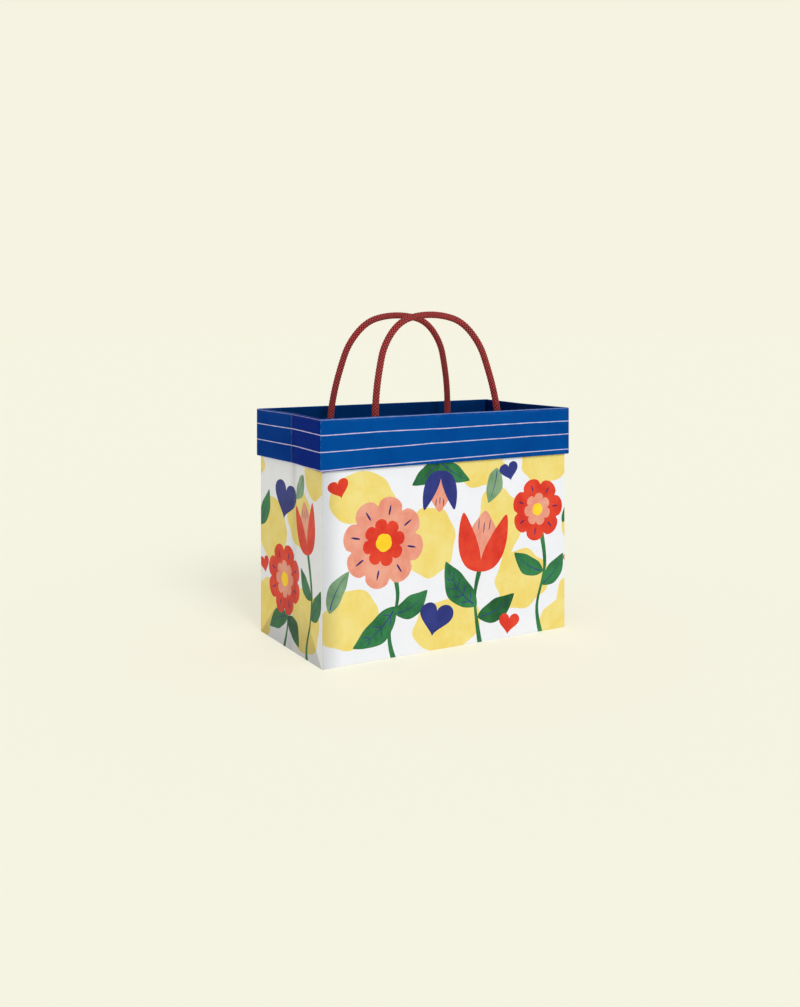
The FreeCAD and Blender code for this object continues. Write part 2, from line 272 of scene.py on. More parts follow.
def printed_paper():
    """Coated white paper with gouache: each face carries a thin and a full tone of its paint."""
    nodes = Nodes("printed paper")
    place = nodes.add("ShaderNodeUVMap", uv_map="sheet").outputs["UV"]
    thin = nodes.add("ShaderNodeAttribute", attribute_name="thin_wash").outputs["Color"]
    full = nodes.add("ShaderNodeAttribute", attribute_name="full_wash").outputs["Color"]
    pooling = nodes.noise(place, 48, 5, 0.62, 0.4)
    strokes = nodes.noise(nodes.stretch(place, (150, 46, 1)), 1.0, 3, 0.55, 0.8)
    amount = nodes.math("ADD", nodes.math("MULTIPLY", pooling, 0.85), nodes.math("MULTIPLY", strokes, 0.2))
    colour = nodes.mix(nodes.ramp(amount, 0.34, 0.72), thin, full)
    grain = nodes.noise(place, 2600, 2, 0.7)
    grain_tone = nodes.math("MULTIPLY_ADD", grain, 0.05, 0.975)
    shade = nodes.add("ShaderNodeCombineColor")
    for socket in shade.inputs[:3]:
        nodes.join(grain_tone, socket)
    colour = nodes.mix(1.0, colour, shade.outputs[0], "MULTIPLY")
    split = nodes.add("ShaderNodeSeparateXYZ")
    nodes.join(place, split.inputs[0])
    along, height = split.outputs[0], split.outputs[1]
    colour = fold_wear_and_shade(nodes, along, place, colour, (WALL_LENGTH + HALF_DEPTH,))
    # Painted shade along the glued seam at the wall's left edge, fading out over SEAM_SHADE millimetres.
    by_seam = nodes.math("SUBTRACT", 1.0, nodes.ramp(along, 0.0, SEAM_SHADE * MM))
    colour = nodes.mix(nodes.math("MULTIPLY", by_seam, 0.28), colour, PAINTED_SHADE_BLACK)
    # Painted shade on the folded-in triangle at the bottom of each side, fading out upwards.
    from_fold = nodes.math("SUBTRACT", along, WALL_LENGTH * MM)
    from_seam = nodes.math("SUBTRACT", SHEET_LENGTH * MM, along)
    above = nodes.math("SUBTRACT", nodes.math("MINIMUM", from_fold, from_seam), height)
    folded_in = nodes.math("MULTIPLY", nodes.ramp(above, -0.8 * MM, 1.0 * MM),
                           nodes.math("SUBTRACT", 1.0, nodes.ramp(height, 0.0, TRIANGLE_SHADE * MM)))
    colour = nodes.mix(nodes.math("MULTIPLY", folded_in, 0.34), colour, PAINTED_SHADE_BLACK)
    roughness = nodes.math("MULTIPLY_ADD", pooling, 0.16, 0.40)
    normal = nodes.bump(grain, 0.12, 0.00006, nodes.bump(pooling, 0.10, 0.0004))
    return nodes.finish(colour, roughness, normal, Specular_IOR_Level=0.16)


def inner_paper():
    """The unprinted side of the paper: soft white, with faint fibre."""
    nodes = Nodes("inner paper")
    place = nodes.add("ShaderNodeTexCoord").outputs["Object"]
    cloud = nodes.noise(place, 60, 4, 0.6)
    fibre = nodes.noise(place, 1400, 3, 0.7)
    colour = nodes.mix(cloud, tone(240, 238, 232), tone(228, 225, 217))
    return nodes.finish(colour, 0.82, nodes.bump(fibre, 0.2, 0.0001), Specular_IOR_Level=0.3)


def stripe(nodes, along, height, level, rise, thickness, seed):
    """A hand-ruled pale line round the cuff, at a level in millimetres above the cuff's foot."""
    turn = nodes.math("MULTIPLY_ADD", along, math.tau / (2 * SHEET_LENGTH * MM), -math.tau * 0.33)
    wave = nodes.math("MULTIPLY", nodes.math("COSINE", turn), rise * MM)
    shift = nodes.add("ShaderNodeCombineXYZ")
    nodes.join(along, shift.inputs[0])
    shift.inputs[1].default_value = seed
    place = shift.outputs[0]
    drift = nodes.noise(place, 14, 3, 0.6)
    wander = nodes.math("MULTIPLY_ADD", drift, STRIPE_WANDER * MM, -STRIPE_WANDER / 2 * MM)
    middle = nodes.math("ADD", nodes.math("ADD", wave, wander), level * MM)
    away = nodes.math("ABSOLUTE", nodes.math("SUBTRACT", height, middle))
    tremble = nodes.noise(place, 90, 2, 0.6)
    pressure = nodes.math("MULTIPLY_ADD", tremble, 0.9 * thickness * MM, 0.1 * thickness * MM)
    inside = nodes.math("SUBTRACT", pressure, away)
    return nodes.ramp(inside, -0.10 * MM, 0.12 * MM)


def cuff_card():
    """Royal blue printed card with hand-ruled lilac lines and rubbed edges, painted shade on its sides,
    and a lining darkened partly by painted shade.
    """
    nodes = Nodes("blue cuff card")
    place = nodes.add("ShaderNodeUVMap", uv_map="sheet").outputs["UV"]
    split = nodes.add("ShaderNodeSeparateXYZ")
    nodes.join(place, split.inputs[0])
    along, height = split.outputs[0], split.outputs[1]
    cloud = nodes.noise(place, 28, 4, 0.6, 0.6)
    brush = nodes.noise(nodes.stretch(place, (30, 900, 1)), 1.0, 3, 0.6)
    amount = nodes.math("ADD", nodes.math("MULTIPLY", cloud, 0.8), nodes.math("MULTIPLY", brush, 0.25))
    colour = nodes.mix(nodes.ramp(amount, 0.3, 0.78), tone(3, 74, 150), tone(2, 62, 136))
    side_folds = (WALL_LENGTH + HALF_DEPTH, SHEET_LENGTH + WALL_LENGTH + HALF_DEPTH)
    # Painted shade on the cuff's sides: mixed towards dark blue, one half of each side darker than the
    # other at the crease.
    for fold in side_folds:
        away = nodes.math("SUBTRACT", along, fold * MM)
        reach = nodes.math("ABSOLUTE", away)
        past = nodes.ramp(reach, SIDE_REACH * MM, (SIDE_REACH + 2) * MM)
        on_side = nodes.math("SUBTRACT", 1.0, past)
        side_shade = nodes.math("MULTIPLY_ADD", nodes.ramp(away, -1.2 * MM, 1.2 * MM), 0.38, 0.40)
        colour = nodes.mix(nodes.math("MULTIPLY", on_side, side_shade), colour, SIDE_SHADE_BLUE)
    for seed, (level, rise, thickness, strength) in enumerate(CUFF_STRIPES):
        line = stripe(nodes, along, height, level, rise, thickness, 3.1 * seed)
        colour = nodes.mix(nodes.math("MULTIPLY", line, strength), colour, LILAC)
    # The lining inside the mouth is darker: partly its own navy, partly painted shade.
    lining = nodes.ramp(height, LINING_START * MM, (LINING_START + 0.6) * MM)
    colour = nodes.mix(nodes.math("MULTIPLY", lining, 0.72), colour, LINING_NAVY_AND_SHADE)
    colour = fold_wear_and_shade(nodes, along, place, colour, side_folds)
    fibre = nodes.noise(place, 1900, 3, 0.7)
    rubbed = nodes.add("ShaderNodeAttribute", attribute_name="rubbed").outputs["Fac"]
    scuff = nodes.math("MULTIPLY", rubbed, nodes.ramp(nodes.noise(place, 240, 4, 0.7), 0.42, 0.7))
    colour = nodes.mix(nodes.math("MULTIPLY", scuff, 0.22), colour, RUBBED_BLUE)
    roughness = nodes.math("MULTIPLY_ADD", cloud, 0.15, 0.42)
    return nodes.finish(colour, roughness, nodes.bump(fibre, 0.16, 0.0001), Specular_IOR_Level=0.006)


def cord_braid():
    """Braided cord: wine-red yarn with a fine lie of fibres, and painted shade where the strands dive."""
    nodes = Nodes("braided cord")
    place = nodes.add("ShaderNodeUVMap", uv_map="braid").outputs["UV"]
    depth = nodes.add("ShaderNodeAttribute", attribute_name="dive").outputs["Fac"]
    fibre = nodes.noise(nodes.stretch(place, (900, 2600, 1)), 1.0, 2, 0.6)
    cloud = nodes.noise(place, 30, 3, 0.6)
    colour = nodes.mix(cloud, tone(186, 66, 66), tone(166, 50, 54))
    colour = nodes.mix(nodes.math("MULTIPLY", fibre, 0.3), colour, tone(210, 104, 96))
    # Painted shade in the hollows where the strands dive under each other.
    colour = nodes.mix(nodes.ramp(depth, 0.18, 0.62), colour, tone(44, 8, 14))
    normal = nodes.bump(fibre, 0.5, 0.0001)
    return nodes.finish(
        colour, 0.78, normal, Specular_IOR_Level=0.12, Sheen_Weight=0.06, Sheen_Roughness=0.5
    )


def grey_board():
    """Recycled board: grey-brown, flecked, with pressed fibres."""
    nodes = Nodes("grey board")
    place = nodes.add("ShaderNodeTexCoord").outputs["Object"]
    cloud = nodes.noise(place, 40, 5, 0.65)
    fleck = nodes.noise(nodes.stretch(place, (900, 380, 900)), 1.0, 4, 0.75)
    colour = nodes.mix(cloud, tone(188, 176, 158), tone(168, 154, 134))
    colour = nodes.mix(nodes.ramp(fleck, 0.62, 0.72), colour, tone(122, 106, 88))
    return nodes.finish(colour, 0.9, nodes.bump(fleck, 0.35, 0.00012), Specular_IOR_Level=0.25)


def barb_plastic():
    """Natural moulded plastic."""
    nodes = Nodes("barb plastic")
    place = nodes.add("ShaderNodeTexCoord").outputs["Object"]
    cloud = nodes.noise(place, 220, 3, 0.5)
    colour = nodes.mix(cloud, tone(214, 212, 204), tone(198, 195, 186))
    return nodes.finish(colour, 0.45, nodes.bump(cloud, 0.1, 0.0001), Subsurface_Weight=0.1)


def floor_paint():
    """Seamless cream paper, lit evenly from below so that it meets the backdrop without a line."""
    nodes = Nodes("studio floor")
    place = nodes.add("ShaderNodeTexCoord").outputs["Object"]
    cloud = nodes.noise(place, 900, 2, 0.5)
    colour = nodes.mix(cloud, tone(188, 186, 172), tone(185, 183, 169))
    nodes.shader.inputs["Emission Color"].default_value = CREAM
    nodes.shader.inputs["Emission Strength"].default_value = FLOOR_GLOW
    return nodes.finish(colour, 0.95, Specular_IOR_Level=0.0)


# Level above the foot, rise towards the far front corner and thickness in millimetres, and strength.
CUFF_STRIPES = (
    (41.3, 0.3, 0.5, 0.4),
    (29.3, 0.5, 0.68, 0.9),
    (16.4, 1.7, 0.68, 0.9),
    (1.9, 2.3, 0.68, 0.9),
)
LINING_START = RIM - CUFF_FOOT + CUFF_OUT - LINING_OUT - 1.0

PRINTED = printed_paper()
INNER = inner_paper()
CUFF_BLUE = cuff_card()
CORD_RED = cord_braid()
BOARD = grey_board()
BARB = barb_plastic()


# ---------------------------------------------------------------- mesh helpers


def new_piece(name, points, faces, *materials):
    mesh = bpy.data.meshes.new(name)
    mesh.from_pydata([tuple(point) for point in points], [], faces)
    mesh.update()
    piece = bpy.data.objects.new(name, mesh)
    bpy.context.scene.collection.objects.link(piece)
    for material in materials:
        mesh.materials.append(material)
    mesh.shade_smooth()
    return piece


def set_uv(piece, name, places):
    """Gives every corner the flat place of its vertex."""
    layer = piece.data.uv_layers.new(name=name)
    corners = np.zeros(len(piece.data.loops), int)
    piece.data.loops.foreach_get("vertex_index", corners)
    layer.data.foreach_set("uv", np.asarray(places, float)[corners].astype(np.float32).ravel())


def thicken(piece, gauge, **settings):
    """Gives a sheet its gauge, behind its outer face, and applies it."""
    solid = piece.modifiers.new("gauge", "SOLIDIFY")
    solid.thickness = gauge * MM
    solid.offset = -1
    solid.use_even_offset = False
    for key, setting in settings.items():
        setattr(solid, key, setting)
    clear_selection()
    bpy.context.view_layer.objects.active = piece
    bpy.ops.object.modifier_apply(modifier=solid.name)
    clear_selection()


# ---------------------------------------------------------------- cord handles

# Half of a handle's route, in millimetres from the middle of its barb's inner face: towards the middle
# of the bag's width, in from the wall, and up.
HALF_HANDLE = [
    (0.0, 0.0, 0.0),
    (0.0, 9.2, 0.0),
    (0.0, 17.3, 5.0),
    (0.0, 21.6, 13.4),
    (0.4, 22.5, 24.0),
    (2.8, 25.1, 42.5),
    (7.0, 27.7, 61.0),
    (13.5, 30.8, 83.0),
    (30.0, 33.6, 102.7),
    (51.0, 34.5, 109.0),
]
BRAID_STRANDS = 6
BRAID_PITCH = 2.9
BRAID_RELIEF = 0.55
BRAID_CROWN = 0.06
ROUTE_ORDER = 3
ROUTE_STEPS = 24
RINGS_PER_MM = 3.0
RING_POINTS = 48


def smooth_route(points):
    """The route as one open NURBS line with these control points, read back as close points."""
    curve = bpy.data.curves.new("handle route", "CURVE")
    curve.dimensions = "3D"
    spline = curve.splines.new("NURBS")
    spline.points.add(len(points) - 1)
    for knot, point in zip(spline.points, points):
        knot.co = (*point, 1)
    spline.order_u = ROUTE_ORDER
    spline.use_endpoint_u = True
    curve.resolution_u = ROUTE_STEPS
    holder = bpy.data.objects.new("handle route", curve)
    bpy.context.scene.collection.objects.link(holder)
    bpy.context.view_layer.update()
    line = bpy.data.meshes.new_from_object(holder.evaluated_get(bpy.context.evaluated_depsgraph_get()))
    path = np.array([vertex.co[:] for vertex in line.vertices])
    bpy.data.objects.remove(holder)
    bpy.data.curves.remove(curve)
    bpy.data.meshes.remove(line)
    return path


def even_steps(path, step):
    """The same line with points at even steps."""
    lengths = np.concatenate([[0], np.cumsum(np.linalg.norm(np.diff(path, axis=0), axis=1))])
    stations = np.linspace(0, lengths[-1], max(2, round(lengths[-1] / step)) + 1)
    return np.stack([np.interp(stations, lengths, path[:, axis]) for axis in range(3)], axis=1), stations


def braid_height(around, along):
    """How far the strands stand up, 0 to 1, and how deep each place dives between them."""
    first = around * BRAID_STRANDS + along / BRAID_PITCH
    second = around * BRAID_STRANDS - along / BRAID_PITCH
    over_first = (np.floor(first) + np.floor(second)) % 2 < 0.5
    crown_first = 1 - (2 * (first % 1) - 1) ** 2
    crown_second = 1 - (2 * (second % 1) - 1) ** 2
    top = np.where(over_first, crown_first, crown_second)
    lie = np.where(over_first, crown_second, crown_first)
    return top**0.7 * (0.55 + 0.45 * lie)


def make_cord(name, path):
    """A braided cord of round section along a path, with its strands standing out of it."""
    centres, stations = even_steps(path, MM / RINGS_PER_MM)
    tangents = np.gradient(centres, axis=0)
    tangents /= np.linalg.norm(tangents, axis=1)[:, None]
    normal = np.cross(tangents[0], (1.0, 0.0, 0.0))
    normal /= np.linalg.norm(normal)
    angles = np.arange(RING_POINTS) / RING_POINTS
    points, dives, places = [], [], []
    radius = CORD_DIAMETER / 2 * MM
    for centre, tangent, station in zip(centres, tangents, stations):
        normal = normal - tangent * (normal @ tangent)
        normal /= np.linalg.norm(normal)
        side = np.cross(tangent, normal)
        height = braid_height(angles, station / MM)
        reach = radius + (BRAID_CROWN - BRAID_RELIEF * (1 - height)) * MM
        turn = angles * math.tau
        ring = centre + reach[:, None] * (np.cos(turn)[:, None] * normal + np.sin(turn)[:, None] * side)
        points.extend(ring)
        dives.extend(1 - height)
        places.extend(np.stack([angles * math.tau * radius, np.full(RING_POINTS, station)], axis=1))
    faces = []
    for ring in range(len(centres) - 1):
        start = ring * RING_POINTS
        for index in range(RING_POINTS):
            onward = (index + 1) % RING_POINTS
            faces.append(
                (start + index, start + onward, start + RING_POINTS + onward, start + RING_POINTS + index)
            )
    last = (len(centres) - 1) * RING_POINTS
    faces.append(tuple(range(RING_POINTS))[::-1])
    faces.append(tuple(range(last, last + RING_POINTS)))
    piece = new_piece(name, points, faces, CORD_RED)
    set_uv(piece, "braid", places)
    # The dive depth also drives the painted shade in the cord's material.
    layer = piece.data.attributes.new("dive", "FLOAT", "POINT")
    layer.data.foreach_set("value", np.asarray(dives, np.float32))
    return piece


def make_handle(wall, side):
    """A whole handle: it leaves the wall at each hole and turns up."""

    def half(hand_name, hand):
        low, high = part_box(f"{wall}_cord_barb_{hand_name}")
        middle = (low + high) / 2
        face = high.y if side < 0 else low.y
        return [
            (middle.x - hand * inboard * MM, face - side * inward * MM, middle.z + up * MM)
            for inboard, inward, up in HALF_HANDLE
        ]

    left, right = half("left", -1), half("right", 1)
    path = smooth_route(left + right[::-1])
    cord = make_cord(f"{wall}_handle_cord", path)
    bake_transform(cord)
    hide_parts(f"{wall}_handle_loop", f"{wall}_cord_leg_left", f"{wall}_cord_leg_right")


make_handle("front", -1)
make_handle("back", 1)


# ---------------------------------------------------------------- gussets


def fold_gusset(piece):
    """Bakes the placement of a gusset half, print or cuff, into its mesh."""
    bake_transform(piece)


# ---------------------------------------------------------------- the print, drawn on its flat sheet

chance = random.Random(11)


class Print:
    """The painted shapes of one sheet, in the order they were painted."""

    def __init__(self):
        self.shapes = []

    def fill(self, paint, outline):
        turns = sum(
            first[0] * second[1] - second[0] * first[1]
            for first, second in zip(outline, outline[1:] + outline[:1])
        )
        self.shapes.append((paint, outline if turns > 0 else outline[::-1]))


def turned(points, centre, angle, scale=1.0):
    cosine, sine = math.cos(math.radians(angle)), math.sin(math.radians(angle))
    return [
        (centre[0] + scale * (x * cosine - y * sine), centre[1] + scale * (x * sine + y * cosine))
        for x, y in points
    ]


def between(before, start, end, after, share):
    """A place between start and end, on the line that runs smoothly through all four points."""
    place = 0.5 * (
        2 * start
        + (end - before) * share
        + (2 * before - 5 * start + 4 * end - after) * share**2
        + (3 * start - before - 3 * end + after) * share**3
    )
    return float(place[0]), float(place[1])


def smooth_loop(points, steps=7):
    """A closed line that runs smoothly through its points."""
    count = len(points)
    line = []
    for index in range(count):
        around = [np.array(points[(index + shift) % count]) for shift in (-1, 0, 1, 2)]
        for step in range(steps):
            line.append(between(*around, step / steps))
    return line


def smooth_line(points, steps=8):
    """An open line that runs smoothly through its points."""
    line = []
    for index in range(len(points) - 1):
        before = np.array(points[max(index - 1, 0)])
        start, end = np.array(points[index]), np.array(points[index + 1])
        after = np.array(points[min(index + 2, len(points) - 1)])
        for step in range(steps):
            line.append(between(before, start, end, after, step / steps))
    line.append(tuple(map(float, points[-1])))
    return line


def band(line, width_at):
    """The outline of a brush line whose width changes along it."""
    line = np.asarray(line)
    tangents = np.gradient(line, axis=0)
    tangents /= np.linalg.norm(tangents, axis=1)[:, None]
    sideways = np.stack([-tangents[:, 1], tangents[:, 0]], axis=1)
    shares = np.linspace(0, 1, len(line))
    widths = np.array([width_at(share) for share in shares])[:, None] / 2
    left, right = line + sideways * widths, line - sideways * widths
    return [tuple(map(float, point)) for point in np.concatenate([left, right[::-1]])]


def brush_stroke(art, points, width, paint="ink"):
    """One flick of a thin brush: it swells, then tapers to nothing."""
    line = smooth_line(points, 5)
    art.fill(paint, band(line, lambda t: max(0.12, width * math.sin(math.pi * (0.12 + 0.86 * t)) ** 0.8)))


def stem(art, points, width):
    line = smooth_line(points, 9)
    art.fill("green", band(line, lambda t: width * (0.85 + 0.25 * math.sin(7 * t + 1))))


def wash(art, centre, half_width, half_height):
    """A round patch of thin yellow."""
    waves = [(n, chance.uniform(0.01, 0.05), chance.uniform(0, math.tau)) for n in (2, 3, 4, 7)]
    outline = []
    for step in range(64):
        angle = math.tau * step / 64
        reach = 1 + sum(size * math.sin(n * angle + phase) for n, size, phase in waves)
        across = half_width * reach * math.cos(angle)
        up = half_height * reach * math.sin(angle)
        outline.append((centre[0] + across, centre[1] + up))
    art.fill("yellow", outline)


def heart(art, paint, centre, width, height, turn):
    """A heart by its two lobes and its point, a little uneven as if cut by hand."""
    outline = []
    for step in range(64):
        t = math.tau * step / 64
        x = 16 * math.sin(t) ** 3
        y = 13 * math.cos(t) - 5 * math.cos(2 * t) - 2 * math.cos(3 * t) - math.cos(4 * t)
        wobble = 1 + 0.025 * math.sin(3 * t + width) + 0.012 * math.sin(7 * t + height)
        outline.append((x * wobble * width / 32, (y + 2) * wobble * height / 32))
    art.fill(paint, turned(outline, centre, turn))


LEAF_RIPPLE = 0.05
LEAF_RIPPLES = 2


def leaf(art, base, tip, width, bend, paint, side_veins):
    """A leaf from its base to its tip, bowed sideways by bend, with a rippled edge and indigo veins."""
    base, tip = np.array(base, float), np.array(tip, float)
    reach = tip - base
    across = np.array([-reach[1], reach[0]]) / np.linalg.norm(reach)

    def middle(t):
        return base + reach * t + across * bend * 4 * t * (1 - t)

    def half(t, hand):
        ripple = 1 + LEAF_RIPPLE * math.sin(math.tau * LEAF_RIPPLES * t + hand)
        swell = math.sin(math.pi * t**0.85) ** 0.85 * ripple
        return width / 2 * swell

    steps = 26
    shares = [step / steps for step in range(steps + 1)]
    sides = []
    for hand in (1, -1):
        sides.append([tuple(middle(t) + across * hand * half(t, hand)) for t in shares])
    art.fill(paint, sides[0] + sides[1][-2:0:-1])
    length = float(np.linalg.norm(reach))
    line = [tuple(middle(t)) for t in np.linspace(0.08, 0.86, 9)]
    art.fill("indigo", band(line, lambda t: max(0.15, 0.020 * length * (1 - t) + 0.25)))
    for number in range(side_veins):
        t = 0.16 + 0.5 * number / max(1, side_veins - 1)
        for hand in (1, -1):
            start = middle(t)
            end = middle(t + 0.12) + across * hand * half(t + 0.12, hand) * 0.66
            halfway = (start + end) / 2 + across * hand * 0.8
            brush_stroke(art, [tuple(start), tuple(halfway), tuple(end)], 0.8, "indigo")


def scallops(low, high, lobes, wide, tall, depth, steps=9):
    """Points of a lobed edge round the middle, from one angle to another."""
    edge = []
    for step in range(lobes * steps + 1):
        share = step / (lobes * steps)
        angle = math.radians(low + (high - low) * share)
        swell = 1 - depth + depth * abs(math.sin(math.pi * share * lobes)) ** 0.55
        edge.append((wide * swell * math.cos(angle), tall * swell * math.sin(angle)))
    return edge


def round_bloom(art, centre, radius, petals, turn, outer, inner):
    """A round flower seen from above: a ring of petals, a smaller ring turned half a petal, an eye."""

    def place(points):
        return turned(points, centre, turn, radius)

    art.fill(outer, place(scallops(0, 360, petals, 1.0, 1.0, 0.20)[:-1]))
    for petal in range(petals):
        along = math.tau * (petal + 0.5) / petals
        flick = [(reach * math.cos(along), reach * math.sin(along)) for reach in (0.60, 0.71, 0.82)]
        brush_stroke(art, place(flick), 0.045 * radius)
    half_turn = 180 / petals
    art.fill(inner, place(turned(scallops(0, 360, petals, 0.52, 0.52, 0.24)[:-1], (0, 0), half_turn)))
    art.fill("gold", place(scallops(0, 360, 5, 0.20, 0.20, 0.08)[:-1]))


def tulip(art, base, length, turn, outer, inner):
    """A flower seen from the side: one petal in the middle and one either side of it."""

    def place(points):
        return turned(points, base, turn, length)

    middle = [(0.0, 0.05), (-0.22, 0.30), (-0.27, 0.62), (-0.13, 0.86),
              (0.0, 0.98), (0.13, 0.86), (0.27, 0.62), (0.22, 0.30)]
    side = [(0.0, 0.0), (-0.26, 0.05), (-0.43, 0.27), (-0.49, 0.60),
            (-0.44, 0.93), (-0.28, 0.76), (-0.13, 0.52), (-0.02, 0.26)]
    art.fill(inner, place(smooth_loop(middle)))
    for across in (-0.10, 0.0, 0.10):
        low = 0.62 + 0.5 * abs(across)
        flick = [(across, low), (across * 1.1, low + 0.09), (across * 1.1, low + 0.18)]
        brush_stroke(art, place(flick), 0.9)
    for hand in (1, -1):
        art.fill(outer, place(smooth_loop([(hand * x, y) for x, y in side])))


def draw_print():
    """A whole sheet: round flowers, tulips, leaves and hearts over loose yellow washes."""
    art = Print()
    for centre, half_width, half_height in (
        ((36, 134), 31, 21),
        ((101, 92), 25, 29),
        ((24, 36), 27, 24),
        ((118, 20), 34, 22),
        ((172, 102), 25, 30),
        ((152, 150), 27, 15),
        ((224, 152), 29, 19),
        ((196, 50), 29, 26),
        ((240, 8), 24, 18),
        ((268, 96), 27, 27),
        ((322, 112), 27, 23),
        ((356, 152), 23, 19),
        ((258, 30), 22, 20),
        ((336, 30), 30, 26),
    ):
        wash(art, centre, half_width, half_height)

    for line in (
        ((59, 92), (69, 52), (61, 20), (66, -4)),
        ((151, 64), (146, 38), (152, -4)),
        ((214, 108), (222, 62), (213, 24), (218, -4)),
        ((112, 148), (108, 162), (112, 178)),
        ((292, 52), (301, 22), (296, -4)),
        ((340, 88), (349, 52), (341, 12), (344, -4)),
    ):
        stem(art, list(line), 4.4)

    for base, tip, width, bend, paint, side_veins in (
        ((67, 42), (27, 13), 22, 5, "green", 3),
        ((66, 36), (98, 52), 19, -4, "green", 0),
        ((148, 32), (116, 74), 23, 5, "green", 4),
        ((149, 22), (188, 38), 20, -4, "deep green", 0),
        ((220, 54), (188, 74), 17, 3, "green", 0),
        ((218, 42), (243, 68), 17, -3, "green", 0),
        ((110, 160), (83, 141), 15, 2, "deep green", 0),
        ((110, 160), (141, 141), 15, -2, "green", 0),
        ((6, 44), (24, 76), 15, 3, "sage", 0),
        ((170, 150), (160, 120), 17, 2, "sage", 0),
        ((242, 96), (262, 130), 16, -3, "green", 0),
        ((300, 26), (264, 10), 18, -3, "green", 0),
        ((300, 26), (326, 6), 16, 3, "deep green", 0),
        ((348, 50), (324, 72), 15, 3, "green", 0),
        ((346, 34), (369, 62), 17, -3, "green", 0),
        ((330, 150), (312, 128), 15, 2, "sage", 0),
    ):
        leaf(art, base, tip, width, bend, paint, side_veins)

    for centre, radius, petals, turn, outer, inner in (
        ((56, 96), 38, 8, 10, "pink", "red"),
        ((214, 110), 28, 7, 30, "red", "pink"),
        ((291, 56), 31, 8, 4, "red", "pink"),
    ):
        round_bloom(art, centre, radius, petals, turn, outer, inner)

    for base, length, turn, outer, inner in (
        ((151, 62), 53, -7, "red", "pink"),
        ((112, 151), 35, 176, "indigo", "pink"),
        ((340, 86), 44, 12, "red", "pink"),
    ):
        tulip(art, base, length, turn, outer, inner)

    for paint, centre, size, turn in (
        ("indigo", (106, 26), 34, -14),
        ("red", (15, 143), 19, 16),
        ("red", (182, 12), 22, -8),
        ("indigo", (183, 146), 20, 12),
        ("indigo", (292, 124), 40, -10),
        ("red", (253, 62), 18, 14),
    ):
        heart(art, paint, centre, size, 0.92 * size, turn)
    return art


GRID = 7.0
CREASE_COLUMNS = (-1.6, -0.7, 0, 0.7, 1.6)
HEM_ROWS = (0.66, 0.33, 0)
FOLD_RADIUS = 0.6
HEM = FOLD_RADIUS * (math.pi / 2 - 1)
CORNER_ARC = CORNER_RADIUS * math.pi / 4
CREASE = WALL_LENGTH + HALF_DEPTH
WALL_BELLY = 0.7
WALL_RIPPLE = 0.22
RIPPLE_FADE = 12


def flat_sheet(art):
    """The sheet cut into triangles along every painted edge and crease: places, triangles, paints."""
    low, high = -HEM, PAPER_TOP
    columns = sorted(
        {WALL_LENGTH + CORNER_ARC * share for share in (-1, -0.5, 0, 0.5, 1)}
        | {SHEET_LENGTH - CORNER_ARC * share for share in (1, 0.5, 0)}
        | {CREASE + shift for shift in CREASE_COLUMNS}
    )
    rows = [FOLD_RADIUS - (FOLD_RADIUS + HEM) * share for share in HEM_ROWS]
    points = [(0.0, low), (SHEET_LENGTH, low), (SHEET_LENGTH, high), (0.0, high)]
    faces = [[0, 1, 2, 3]]
    edges = []

    def add_line(start, end):
        edges.append((len(points), len(points) + 1))
        points.extend([start, end])

    for column in columns:
        add_line((column, low), (column, high))
    for row in rows:
        add_line((0.0, row), (SHEET_LENGTH, row))
    add_line((WALL_LENGTH, 0.0), (CREASE, HALF_DEPTH))
    add_line((SHEET_LENGTH, 0.0), (CREASE, HALF_DEPTH))
    for across in np.arange(GRID / 2, SHEET_LENGTH, GRID):
        for up in [low, *rows, *np.arange(GRID / 2, high - GRID / 2, GRID), high]:
            points.append((float(across), float(up)))
    for paint, outline in art.shapes:
        faces.append(list(range(len(points), len(points) + len(outline))))
        points.extend(outline)
    cut = delaunay_2d_cdt([Vector(point) for point in points], edges, faces, 1, 1e-5)
    places = np.array([tuple(place) for place in cut[0]])
    triangles, paints = [], []
    for face, sources in zip(cut[2], cut[5]):
        if 0 not in sources or len(face) != 3:
            continue
        triangles.append(face)
        top = max(sources)
        paints.append("paper" if top == 0 else art.shapes[top - 1][0])
    return places, np.array(triangles), paints


def gusset_inward(u, v):
    """How far the gusset is pushed in: a middle crease above, and a flat triangle at the bottom."""
    from_corner = min(u - WALL_LENGTH, SHEET_LENGTH - u)
    share = max(0.0, min(from_corner, v) / HALF_DEPTH)
    return GUSSET_TUCK * share


def wall_bow(u, v):
    """A wall of paper is never flat: it bellies a little between its creases."""
    climb = min(1, max(0, v / CUFF_FOOT))
    belly = WALL_BELLY * math.sin(math.pi * u / WALL_LENGTH) * math.sin(math.pi * climb)
    ripple = WALL_RIPPLE * math.sin(u / 31 + 0.8) * math.sin(v / 27 + 0.5)
    beside = min(u, WALL_LENGTH - u, max(v, 0)) / RIPPLE_FADE
    edge = min(1.0, beside, max(0, CUFF_FOOT - v) / 8)
    return belly + ripple * max(0.0, edge)


